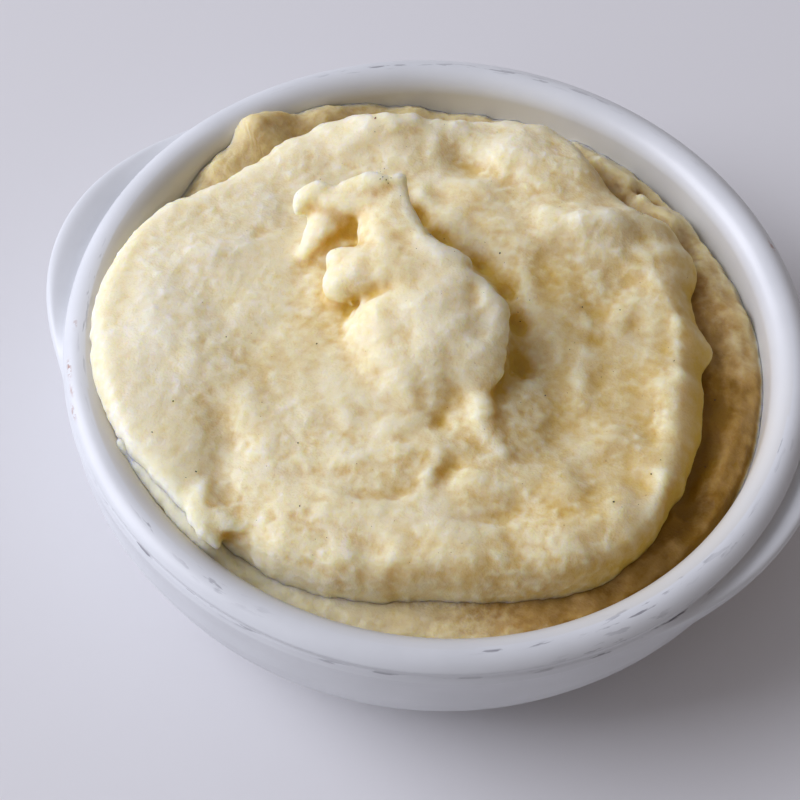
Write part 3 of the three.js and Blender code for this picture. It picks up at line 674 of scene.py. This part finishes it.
DOLLOP_MARKS = [  # the spoon marks on it, as above
    [-12, 11, -9, 8, 3, 0.5], [-6.5, 9.5, 0.5, 1, 3.4, 0.8], [-15, 10.5, -10, 3.5, 3, -0.5],
    [-21, 12, -16.5, 4.5, 3, 0.4], [-7, 9.5, -1, 7.5, 2.6, 0.5], [2.5, 4, 3, 4, 2, 0.5],
    [-7.5, -3, -3, 1.5, 2.8, -0.6], [-2.5, -5, 3.5, -7, 4, 0.8], [6.5, 0.5, 11.5, -7, 2.6, -0.7],
    [12.5, -8, 13.5, -8.5, 3, 0.8], [9, -10, 10, -10.5, 2, 0.4], [-14.5, -7.5, -10.5, -16, 4, 1],
    [-10, -5.5, -4, -13.5, 3, -0.8], [0, -17, 1.5, -13.5, 3, 0.4], [-6, -19.5, -1.5, -22, 3, 0.6],
    [3, -19, 9, -17.5, 2.6, -0.8], [5, -16.5, 5.5, -16.5, 1.8, 0.6],
    [8.5, -13, 9.5, -13.5, 2.5, -0.5], [1.5, -23.5, 2.5, -23.5, 2.2, 0.6],
]
# Fingers of mash: x, y, z, half width, half height at each station.
FOLDS = {
    "shoulder": [[-15, 17.5, 55, 4, 6], [-20.2, 16.6, 55, 4.2, 6], [-25, 15.2, 54.6, 4, 5.6],
        [-29.4, 13.8, 53.4, 3.6, 5.4], [-33, 12.2, 51.6, 2.8, 4.8]],
    "left_lobe": [[-36.3, 7.6, 54.2, 0.9, 1.2], [-36.4, 9.6, 55.8, 1.9, 1.9],
        [-35.2, 12, 57, 2.4, 2.3], [-33.2, 13.8, 57.8, 2.6, 2.3], [-31, 14.4, 57.8, 2, 2]],
    "back_lobe": [[-29.6, 14, 58.2, 1.8, 2], [-28, 15.4, 58.8, 2.4, 2.1],
        [-25.2, 17, 59.8, 2.7, 2.2], [-22, 18.4, 60.6, 2.7, 2.2], [-18.6, 19.2, 60.4, 2.2, 1.8]],
    "flap": [[-35, 10.8, 55.8, 2, 2.4], [-31.2, 12.2, 56.8, 2.8, 2.8],
        [-27, 13.4, 57.5, 3.2, 2.9], [-22, 14.4, 58.4, 3.6, 2.7], [-17.6, 14.2, 59.2, 3.2, 2.4]],
    "tip": [[-20, 18, 59.6, 2.4, 1.8], [-18.4, 20.4, 60.5, 2.1, 1.7],
        [-17.2, 22.7, 61.2, 1.1, 1]],
    "leaf": [[-29.6, 11, 55.6, 4.2, 2.6], [-30.2, 8.6, 54.2, 3.9, 2.8],
        [-31, 6.2, 52.2, 3.2, 2.8], [-31.8, 4, 50, 2.5, 2.6], [-32.4, 2, 48.2, 1.7, 2.2]],
    "hood_wall": [[-31, 7.8, 51.4, 2.2, 5], [-28.6, 9.4, 51, 2.2, 5.2],
        [-26.2, 11.2, 51, 2.4, 5.4], [-23, 12.8, 51.6, 3, 5.4]],
    "hood_floor": [[-22.6, 9.6, 50.4, 2.8, 3], [-25, 8.4, 50, 3.2, 3], [-27.4, 6.4, 49.2, 3.2, 3],
        [-28.8, 4.2, 48, 2.8, 2.8], [-29.4, 1.8, 46.8, 2, 2.4]],
    "knob": [[-8, 2.6, 54.6, 5.4, 4.2], [-13.8, 1.8, 54.8, 5.8, 4.4],
        [-18.4, -0.6, 54.4, 5.7, 4.4], [-20.6, -4, 52.8, 5, 4.4], [-20.4, -7.2, 50.6, 4.2, 3.8]],
    "knob_bridge": [[-17.6, 4.6, 55, 4, 4.6], [-14, 1.4, 55.6, 4.8, 4.4],
        [-10, -1.6, 55.6, 5, 3.6]],
    "beak": [[-18.6, 0.6, 54.6, 3.6, 3.2], [-22.2, 0.5, 54.6, 3.2, 3], [-25, 0.3, 54, 2.4, 2.6],
        [-26.4, 0, 53.6, 1.4, 1.6]],
    "tongue": [[12.6, -14.4, 48.4, 2.8, 2.6], [15.2, -17.6, 48.2, 3, 2.6],
        [16.6, -21, 47.4, 2.8, 2.4], [19.2, -24, 46.4, 2.4, 2.2], [22.8, -26.4, 45.4, 1.4, 1.4]],
    "tail": [[-29.2, -54.2, 46, 1.3, 0.8], [-28.8, -57.6, 46, 2.3, 1.5],
        [-27.4, -60.6, 45.4, 2.9, 1.8], [-24.8, -63, 44.4, 2.6, 1.9], [-22, -65, 43, 1.6, 1.5],
        [-20.7, -66, 42.3, 0.7, 0.8]],
    "tail_tip": [[-26.6, -60, 45.6, 2.2, 1.5], [-23.4, -60.8, 45.4, 2.3, 1.6],
        [-20.4, -61.2, 45.1, 1.6, 1.3], [-17.4, -61, 44.6, 0.6, 0.6]],
}
CELL = 0.54  # size of the remeshed faces, in millimetres
FILLET = 0.6  # radius of the rounded inner corners
FINGER_SAMPLES = 400  # points along a finger's line
SWIRL_MIDDLE = np.array([4.0, -5.0])
# the darkest tones are painted shade, in hollows, in the trough and on faces turned from the window
HELPING_TONES = ("#DAB650", "#E3CA8C", "#EFE3BC", "#F5EFDC")
FAR_ROUNDS = 150  # as NEAR_ROUNDS, with about 5 mm round it
AWAY_FROM_WINDOW = [0.94, -0.1, -0.1]  # the way that faces look which turn away from the window and get painted shade


def edge_line(steps):
    """Reach and lip of the helping's edge in even steps round: a smooth line through the table."""
    table = np.array(LAYER_EDGE)
    table = np.concatenate([table[-3:] - [360, 0, 0], table, table[:3] + [360, 0, 0]])
    line = smooth_line(table, len(table) * 24)
    at = np.arange(steps) / steps * 360
    return np.interp(at, line[:, 0], line[:, 1]), np.interp(at, line[:, 0], line[:, 2])


def layer_height(x, y):
    """Level, which falls towards the right, plus the spoon marks and the trough."""
    fall = (4.0 * ease(10, 34, x) + 1.6 * ease(30, 56, x)) * bell(y - 4, 42)
    marks = strokes(x, y, BROAD_MARKS) + FINE_SHARE * strokes(x, y, FINE_MARKS)
    return LAYER_LEVEL - fall + (marks + strokes(x, y, TROUGH))


def layer_surface(steps=760, inner=100, lip_rows=30):
    """The spread helping. Inside the crest it is a height over rings. From the crest out it is a
    lip along a superellipse, x^n + z^n = 1, which tucks under at its foot. n is 2.3 for the round
    roll in front, 1.2 at the right, where the flank is plain under a sharp crest, and 3.2 at the
    left, where the full mound leans on the wall."""
    angle = np.arange(steps) / steps * TAU
    reach, lip = edge_line(steps)
    ring = polar(60, angle, 0)
    ragged = 0.35 + 0.8 * bell(turned(angle, 130), 45)
    reach = reach + ragged * (1.1 * noise(ring, 4.2, 31) + 0.7 * noise(ring, 1.9, 32))
    flank = bell(turned(angle, 20), 36)
    mound = bell(turned(angle, 212), 38)
    power = 2 / (2.3 - 1.1 * flank + 0.9 * mound)
    crest = reach - lip
    cos, sin = np.cos(angle), np.sin(angle)
    turn = np.linspace(LIP_END, math.pi / 2, lip_rows)[:, None]
    top = layer_height(crest * cos, crest * sin)
    foot = packed_height(reach * cos, reach * sin)
    middle = foot + (0.12 + 0.12 * flank) * (top - foot)
    across = np.cos(turn) ** power
    up = np.sign(np.sin(turn)) * np.abs(np.sin(turn)) ** power
    height = middle + (top - middle) * up
    radius = np.minimum(crest + lip * across, wall_at(height) - 0.3)
    lip_part = polar(radius, angle, height)
    radius = crest * np.linspace(1, 0, inner)[1:, None]
    inner_part = polar(radius, angle, layer_height(radius * cos, radius * sin))
    core = [polar(r, angle, SUNK_CORE) for r in (0, 50)]
    return np.concatenate([core, lip_part, inner_part])


def dollop_height(x, y):
    """A spine that falls away towards the foot as t^1.8, t being the share of its length, rounded
    down as a parabola to either side, plus the marks of the spoon."""
    cos, sin = math.cos(DOLLOP_DIRECTION), math.sin(DOLLOP_DIRECTION)
    dx, dy = x - DOLLOP_PEAK[0], y - DOLLOP_PEAK[1]
    along = dx * cos + dy * sin
    away = (dy * cos - dx * sin) - DOLLOP_SLANT * along
    spine = DOLLOP_PEAK[2] - DOLLOP_FALL * np.clip(along / DOLLOP_LENGTH, 0, None) ** 1.8
    sunk = np.where(away > 0, *DOLLOP_ROUNDING) * (away / DOLLOP_HALF_WIDTH) ** 2
    return spine - sunk + strokes(x, y, DOLLOP_MARKS)


def dollop_surface(steps=300):
    """Shrinking copies of the outline, laid on the dollop's height and rounded over its edge. A
    field with lumps of 4 and 2 mm moves the outline out and in. The first five rings go down
    into the helping."""
    outline = smooth_line(DOLLOP_OUTLINE, steps, closed=True)[::-1]
    out = outline[:, :2] - DOLLOP_MIDDLE
    out /= np.linalg.norm(out, axis=1, keepdims=True)
    torn = 1.1 * noise(outline, 3.8, 51) + 0.7 * noise(outline, 1.9, 52)
    outline[:, :2] += torn[:, None] * out
    share = np.concatenate([[0, 0.8, 0.86, 0.93, 0.975], np.linspace(1, 0, 60) ** 0.8])[:, None]
    x, y = (middle + (line - middle) * share for middle, line in zip(DOLLOP_MIDDLE, outline.T))
    top = dollop_height(x, y)
    rim = np.minimum(outline[:, 2], top) - 1.2
    crisp = bell(turned(np.arctan2(y - DOLLOP_MIDDLE[1], x - DOLLOP_MIDDLE[0]), 50), 75)
    height = top + (rim - top) * share ** (3 + 12 * crisp)
    height[0] = 40
    height[1:5] = rim[1:5] - np.array([9, 6, 3.4, 1.4])[:, None]
    return np.stack([x, y, height], axis=-1)


def finger_surface(stations, rings=48, steps=40):
    """Elliptic rings along a smooth line through the stations. Their size follows the stations,
    times sin(t)^0.55 for blunt round ends, with t running from 0 to half a turn."""
    turn = np.linspace(0, math.pi, rings)
    fine = smooth_line(stations, FINGER_SAMPLES)
    pick = (1 - np.cos(turn)) / 2 * (FINGER_SAMPLES - 1)
    along = np.arange(FINGER_SAMPLES)
    line = np.stack([np.interp(pick, along, column) for column in fine.T], axis=1)
    ahead = np.gradient(line[:, :3], axis=0)
    ahead /= np.linalg.norm(ahead, axis=1, keepdims=True)
    side = np.cross([0, 0, 1], ahead)
    side /= np.linalg.norm(side, axis=1, keepdims=True)
    rise = np.cross(ahead, side)
    angle = np.arange(steps) / steps * TAU
    full = np.clip(np.sin(turn), 0, 1)[:, None] ** 0.55
    wide = (full * line[:, [3]]) * np.cos(angle)
    high = (full * line[:, [4]]) * np.sin(angle)
    return line[:, None, :3] + wide[..., None] * side[:, None] + high[..., None] * rise[:, None]


def remesh(piece, cell, rounds):
    """One skin over everything: a voxel remesh, then rounds of smoothing that take the grid's
    steps away."""
    skin = piece.modifiers.new("skin", "REMESH")
    skin.mode = "VOXEL"
    skin.voxel_size = cell * MM
    relax = piece.modifiers.new("relax", "SMOOTH")
    relax.factor = 0.5
    relax.iterations = rounds
    graph = bpy.context.evaluated_depsgraph_get()
    mesh = bpy.data.meshes.new_from_object(piece.evaluated_get(graph))
    piece.modifiers.clear()
    old = piece.data
    piece.data = mesh
    mesh.name = piece.name
    bpy.data.meshes.remove(old)
    mesh.shade_smooth()


def fuse(name, parts, cell, fillet):
    """Joins overlapping closed pieces into one skin. The skin is swelled by the fillet's radius,
    skinned again and drawn back by as much, which rounds every inner corner and leaves the
    outer ones."""
    with bpy.context.temp_override(active_object=parts[0], selected_editable_objects=parts):
        bpy.ops.object.join()
    whole = parts[0]
    whole.name = name
    remesh(whole, cell, rounds=2)
    for offset in (fillet, -fillet):
        points, normals = read(whole)
        write(whole, points + offset * normals)
        remesh(whole, cell, rounds=3)
    return whole


def streaks(points, size, seed, length):
    """Lumps drawn out along the spoon's swirl: the sum of one field read at five places, turned
    a few degrees apart about the swirl's middle, over 3.4 so that it still spans about -1 to 1.
    length is the whole turn in degrees."""
    x, y = points[:, 0] - SWIRL_MIDDLE[0], points[:, 1] - SWIRL_MIDDLE[1]
    total = 0
    for turn in np.radians(np.linspace(-length / 2, length / 2, 5)):
        cos, sin = math.cos(turn), math.sin(turn)
        moved = np.stack([x * cos - y * sin, x * sin + y * cos, points[:, 2]], axis=1)
        total = total + noise(moved, size, seed)
    return total / 3.4


def blobs(points, size, seed):
    """Rounded lumps with flat ground between them: a smooth field f bent by
    log(1 + e^(5 f)) / 5."""
    return np.log1p(np.exp(5 * noise(points, size, seed))) / 5 - 0.25


def helping_relief(points):
    """Creamed potato: soft lumps of 9 mm, and of 4.6 mm drawn out along the swirl, then round
    ones of 3.4 and 1.9 mm and small grains, stronger in some places than in others. The dollop
    has lumps of 4.4 mm and a smoother grain. The flank at the right is smoother still."""
    x, y, z = points.T
    rough = 0.6 + 0.4 * ease(-0.5, 0.4, noise(points, 16, 27))
    small = 0.6 * blobs(points, 3.4, 23) + 0.6 * blobs(points, 1.9, 25)
    small += 0.2 * noise(points, 1.15, 24)
    flank = bell(turned(np.arctan2(y, x), 12), 36) * ease(51, 53.5, np.hypot(x, y))
    dollop = ease(50, 54, z)
    calm = (1 - 0.2 * dollop) * (1 - 0.7 * flank)
    lumps = 0.25 * noise(points, 9, 21) + 0.22 * streaks(points, 4.6, 22, 14)
    lumps += 0.3 * dollop * noise(points, 4.4, 28)
    return calm * (lumps + 0.6 * rough * small)


def helping_tone_and_shade(piece, smooth_normals):
    """Lighter on fine crests and darker in fine creases, partly the mash's own whiter tops and
    partly painted shade, with painted shade in broad hollows, on steep faces and on faces turned
    away from the window. Painted shade darkens the right, the trough and the listed places, and
    painted light lightens those listed below 0. A painted glow of light through the slender peak
    and tail makes them yellower, painted shade darkens the flank's foot at the right, and painted
    light lightens the foot in front."""
    x, y, z = read(piece)[0].T
    angle = np.arctan2(y, x)
    steep = 1 - smooth_normals[:, 2]
    # painted shade on faces that turn away from the window
    toward_right = np.clip(smooth_normals @ AWAY_FROM_WINDOW, 0, 1)
    # painted shade in broad hollows
    hollow = np.minimum(crest_of(piece, FAR_ROUNDS) + 0.4, 0)
    # painted shade, darker and yellower to the right, in the trough and at the listed places
    warm_shade = 0.22 * ease(-34, 34, x) * ease(54, 49, z) + strokes(x, y, PAINTED_SHADE_PLACES) * ease(56, 53, z)
    warm_shade -= 0.08 * strokes(x, y, TROUGH) * ease(50, 47, z)
    # painted glow of light through the peak and the tail
    painted_glow = 0.12 * ease(52, 56, z) * ease(0, -12, x) + 0.14 * bell(np.hypot(x + 25, y + 61), 8)
    # painted shade at the flank's foot at the right, painted light at the foot in front
    foot = 0.2 * ease(45, 39, z) * (bell(turned(angle, 0), 34) - bell(turned(angle, 290), 36))
    crest = 0.8 * crest_of(piece, NEAR_ROUNDS) - 0.1 * hollow ** 2
    return 0.63 + crest - 0.08 * steep ** 2 - 0.4 * toward_right ** 1.5 - warm_shade - painted_glow - foot


def open_underside(piece):
    """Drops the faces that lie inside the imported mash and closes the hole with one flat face, so
    that the piece's faces are spent on what shows."""
    count = len(piece.data.polygons)
    flat = np.empty(count * 3, np.float32)
    piece.data.polygons.foreach_get("center", flat)
    x, y, z = flat.reshape(-1, 3).T.astype(float) / MM
    hidden = np.flatnonzero(z < packed_height(x, y) - 1.0)
    work = bmesh.new()
    work.from_mesh(piece.data)
    work.faces.ensure_lookup_table()
    bmesh.ops.delete(work, geom=[work.faces[k] for k in hidden], context="FACES")
    bmesh.ops.holes_fill(work, edges=[e for e in work.edges if e.is_boundary], sides=0)
    work.to_mesh(piece.data)
    work.free()


parts = [ring_mesh("layer", layer_surface()), ring_mesh("dollop", dollop_surface())]
parts += [ring_mesh(name, finger_surface(stations)) for name, stations in FOLDS.items()]
helping = fuse("spooned_mash_helping", parts, CELL, FILLET)
open_underside(helping)
smooth_normals = read(helping)[1]
roughen(helping, helping_relief)
store(helping, "crest", helping_tone_and_shade(helping, smooth_normals))
helping.data.materials.clear()
helping.data.materials.append(mash("creamed_potato", HELPING_TONES, grain_mm=0.55))
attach(helping, "root")
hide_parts("spooned_mash")


# ---- The specks ----
# Coarsely ground black pepper and a few brown flecks of potato skin, stirred in with the
# milk. Each is a small angular grain, half sunk in the surface.
PEPPER = [  # x, y and size
    [-21.6, 18.1, 0.3], [-21.3, 18.9, 0.3], [-20.4, 18.6, 0.4], [-19.8, 18.2, 0.3],
    [-19.7, 19.6, 0.3], [-43.2, -49, 0.4], [-42.3, -41.1, 0.5], [-38.8, -23.1, 0.4],
    [-32.9, -55.3, 0.3], [-31.7, -53.2, 0.4], [-21.1, -17.1, 0.4], [-15.6, -39.8, 0.4],
    [-9.4, -53.3, 0.4], [-7.8, 22.9, 0.3], [5.4, 21.5, 0.4], [15, 8.1, 0.4], [26, -7.7, 0.4],
    [26.1, 16.2, 0.4], [33.8, 18.5, 0.3], [47, -27.6, 0.5], [48.2, 11.4, 0.4], [51.9, -17.1, 0.4],
    [52.7, -12.8, 0.3], [58.8, 11.2, 0.4], [61.5, -5.3, 0.4],
]
SKIN_FLECK = [-32.2, 42.5, 0.6]
DUST_COUNT = 150  # finer specks, strewn over a square whose corners are then cut off
DUST_REACH = 66
DUST_SIZES = (0.12, 0.24)
DROP_HEIGHT = 100


def grains(name, spots, colour, roughness):
    """One joined mesh of small grains. Each spot is dropped onto the mash from above. A grain is
    a squashed ball of few faces whose corners are pushed in and out at random."""
    draw = np.random.default_rng(5)
    points, corners, start = [], [], 0
    ball = bmesh.new()
    bmesh.ops.create_icosphere(ball, subdivisions=1, radius=0.5)
    shape = np.array([v.co for v in ball.verts])
    sides = np.array([[v.index for v in f.verts] for f in ball.faces])
    ball.free()
    graph = bpy.context.evaluated_depsgraph_get()
    for x, y, size in spots:
        above = Vector((x, y, DROP_HEIGHT)) * MM
        hits = [below.ray_cast(above, Vector((0, 0, -1)), depsgraph=graph)
                for below in (packed, helping)]
        height = max(place.z for hit, place, _, _ in hits if hit) / MM
        grain = shape * draw.uniform(0.75, 1.25, (len(shape), 1)) * size * draw.uniform(0.7, 1.2, 3)
        points.append(grain + [x, y, height - 0.1 * size])
        corners.append(sides + start)
        start += len(shape)
    mesh = bpy.data.meshes.new(name)
    mesh.from_pydata((np.concatenate(points) * MM).tolist(), [], np.concatenate(corners).tolist())
    mesh.materials.append(new_material(name, Base_Color=linear(colour), Roughness=roughness)[0])
    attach(put_in_scene(name, mesh), "root")


scatter = np.random.default_rng(9)
dust = scatter.uniform(-DUST_REACH, DUST_REACH, (DUST_COUNT, 2))
dust = dust[np.hypot(*dust.T) < DUST_REACH]
dust = np.column_stack([dust, scatter.uniform(*DUST_SIZES, len(dust))])
grains("black_pepper", PEPPER + dust[::2].tolist(), "#2E2A26", roughness=0.5)
grains("potato_skin", [SKIN_FLECK, *dust[1::2].tolist()], "#8A4A24", roughness=0.6)


# ---- The table and the light ----
# A plain pale table, and soft daylight from a large window at the left. The room's pale walls
# send some of it back, and the wall beside the window is the brightest.
FLOOR_COLOUR = "#DDDCDE"
FLOOR_REACH = 2.0  # metres, as in the next three lines
WINDOW_PLACE = (-2.057, -0.552, 1.491)
WINDOW_SIZE = 2.0
LIT_MIDDLE = (0, 0, 0.03)
WINDOW_WATTS = 74.0
WINDOW_COLOUR = "#F1F3FF"
BRIGHT_SIDE = (-0.95, -0.2, 0.25)  # of the room
ROOM_LIGHT = (0.05, 0.54)  # strength on the dark and on the bright side
ROOM_TINTS = [(0.2, "#FFE6D2"), (0.7, "#F2F3FF")]


def plain_floor():
    """A matt painted board."""
    mesh = bpy.data.meshes.new("floor")
    corners = [(x * FLOOR_REACH, y * FLOOR_REACH, 0)
               for x, y in ((-1, -1), (1, -1), (1, 1), (-1, 1))]
    mesh.from_pydata(corners, [], [(0, 1, 2, 3)])
    paint = new_material("floor_paint", Base_Color=linear(FLOOR_COLOUR), Roughness=0.8)[0]
    mesh.materials.append(paint)
    return put_in_scene("floor", mesh)


def window():
    """The window as a square area light that faces the dish."""
    lamp = bpy.data.lights.new("window", "AREA")
    lamp.size = WINDOW_SIZE
    lamp.energy = WINDOW_WATTS
    lamp.color = linear(WINDOW_COLOUR)[:3]
    light = put_in_scene("window", lamp)
    light.location = WINDOW_PLACE
    facing = Vector(LIT_MIDDLE) - Vector(WINDOW_PLACE)
    light.rotation_euler = facing.to_track_quat("-Z", "Y").to_euler()


def room():
    """Light from the room's walls. It grows evenly from the dark side to the bright side, and
    turns from warm to cool on the way."""
    world = bpy.data.worlds.new("room")
    world.use_nodes = True
    tree = world.node_tree
    way = add(tree, "TexCoord").outputs["Generated"]
    toward = add(tree, "VectorMath", {0: way}, operation="DOT_PRODUCT", i1=BRIGHT_SIDE)
    value = {"Value": toward.outputs["Value"]}
    share, glow = (add(tree, "MapRange", value, From_Min=-1.0, To_Min=low, To_Max=high).outputs[0]
                   for low, high in ((0.0, 1.0), ROOM_LIGHT))
    walls = tree.nodes["Background"].inputs
    tree.links.new(ramp(tree, share, ROOM_TINTS), walls["Color"])
    tree.links.new(glow, walls["Strength"])
    return world


plain_floor()
window()
bpy.context.scene.world = room()
bpy.context.scene.view_settings.view_transform = "Standard"

bpy.context.view_layer.update()
